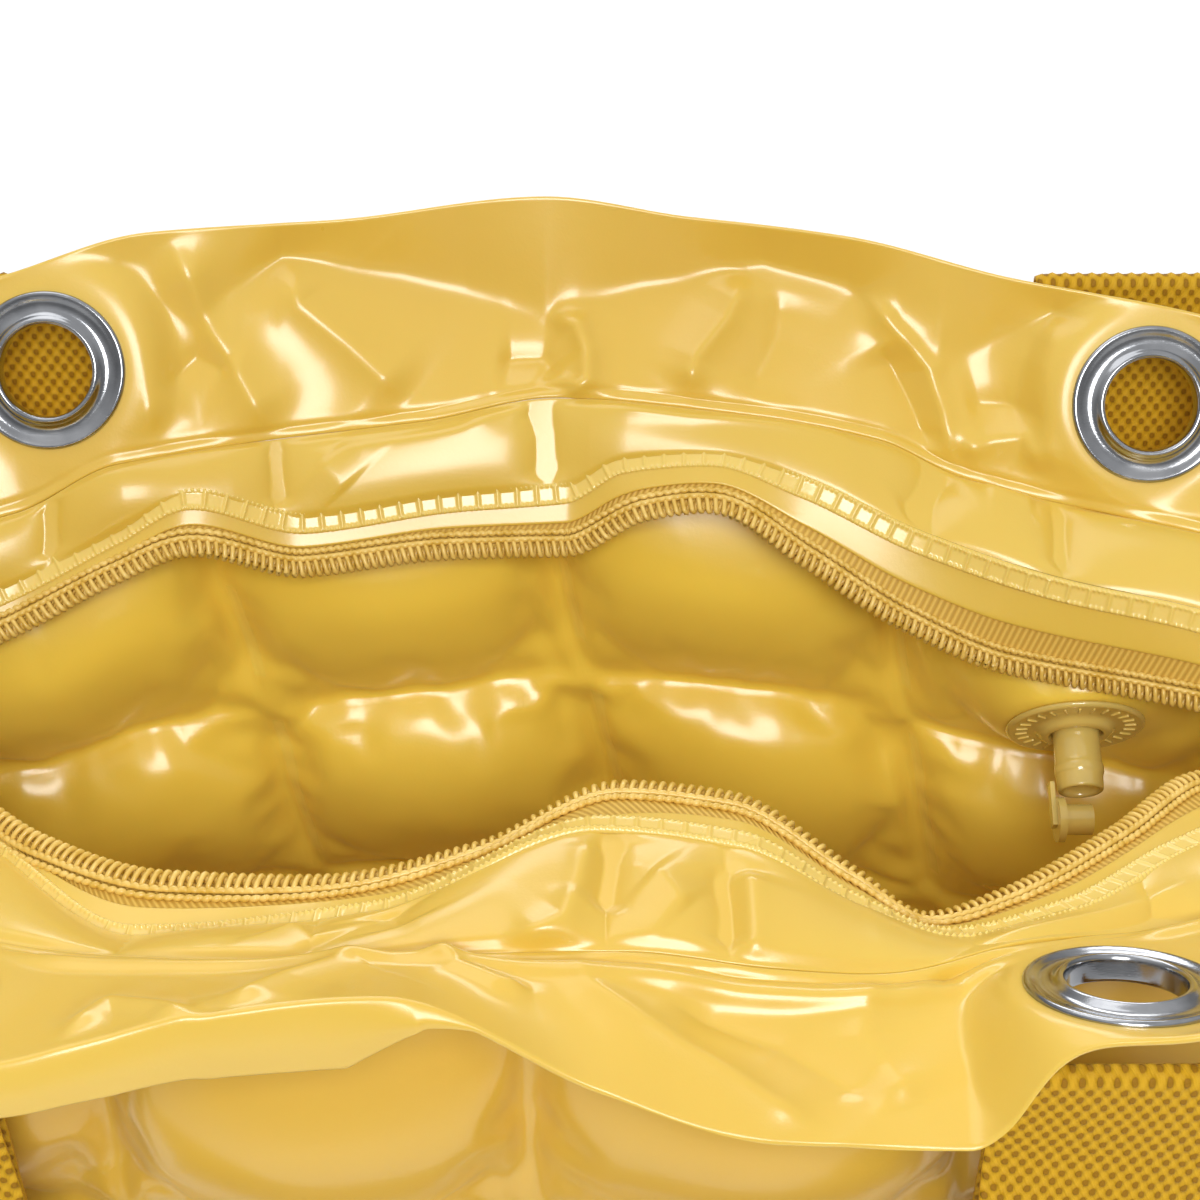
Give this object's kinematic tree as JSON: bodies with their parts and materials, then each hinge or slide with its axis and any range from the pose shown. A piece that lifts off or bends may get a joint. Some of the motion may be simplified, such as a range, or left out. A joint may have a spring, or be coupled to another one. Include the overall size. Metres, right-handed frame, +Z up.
{
  "type": "inflatable tote bag",
  "caption": "Inflatable tote bag of quilted film air cells with a zipped mouth, film rims with metal eyelets, flat webbing handles and an inflation valve with a tethered plug",
  "frame": {"origin": "on the floor plane under the middle of the flat base, between the side seams", "axes": "+X along the zip towards its closed-off end, +Y to the back wall, which holds the valve, +Z up"},
  "size_m": [0.4406, 0.289, 0.3483],
  "materials": {
    "cells": "satin",
    "film": "satin",
    "zip_tape": "matte",
    "zip_teeth": "gloss",
    "zip_metal": "satin",
    "webbing": "matte",
    "eyelets": "polished",
    "washers": "satin",
    "valve": "gloss"
  },
  "bodies": {
    "bag": {"back_wall": "cells", "front_wall": "cells", "base_panel": "cells", "left_side_seam": "cells", "right_side_seam": "cells", "back_zip_strip": "film", "front_zip_strip": "film", "back_rim": "film", "front_rim": "film", "left_zip_end_tab": "film", "right_zip_end_tab": "film", "back_zip_tape": "zip_tape", "front_zip_tape": "zip_tape", "back_zip_chain": "zip_teeth", "front_zip_chain": "zip_teeth", "zip_top_stop": "zip_metal", "zip_bottom_stop": "zip_metal", "back_handle_anchors": "webbing", "front_handle_anchors": "webbing", "back_left_eyelet": "eyelets", "back_right_eyelet": "eyelets", "front_left_eyelet": "eyelets", "front_right_eyelet": "eyelets", "back_left_eyelet_washer": "washers", "back_right_eyelet_washer": "washers", "front_left_eyelet_washer": "washers", "front_right_eyelet_washer": "washers", "valve_flange": "valve", "valve_flap": "valve"},
    "back_handle_loop": {"back_handle": "webbing"},
    "front_handle_loop": {"front_handle": "webbing"},
    "slider": {"zip_slider": "zip_metal"},
    "pull": {"zip_pull": "zip_metal"},
    "stem": {"valve_stem": "valve"},
    "plug": {"valve_plug": "valve", "valve_tether": "valve"}
  },
  "joints": [
    {"name": "back_handle_swing", "type": "hinge", "parent": "bag", "child": "back_handle_loop", "pos_m": [0, 0.086, 0.331], "axis": [1, 0, 0], "range_deg": [0, 160]},
    {"name": "front_handle_swing", "type": "hinge", "parent": "bag", "child": "front_handle_loop", "pos_m": [0, -0.099, 0.276], "axis": [-1, 0, 0], "range_deg": [0, 95]},
    {"name": "zip_slide", "type": "slide", "parent": "bag", "child": "slider", "axis": [-1, 0, 0], "range_m": [0, 0.011]},
    {"name": "zip_pull_swing", "type": "hinge", "parent": "slider", "child": "pull", "pos_m": [-0.1775, 0, 0.2703], "axis": [0, 1, 0], "range_deg": [0, 150]},
    {"name": "valve_stem_push", "type": "slide", "parent": "bag", "child": "stem", "axis": [0, 0.848, 0.5299], "range_m": [0, 0.01]},
    {"name": "valve_plug_swing", "type": "hinge", "parent": "stem", "child": "plug", "pos_m": [0.10045, 0.02163, 0.23958], "axis": [0, -0.5299, 0.848], "range_deg": [-25, 15]}
  ]
}
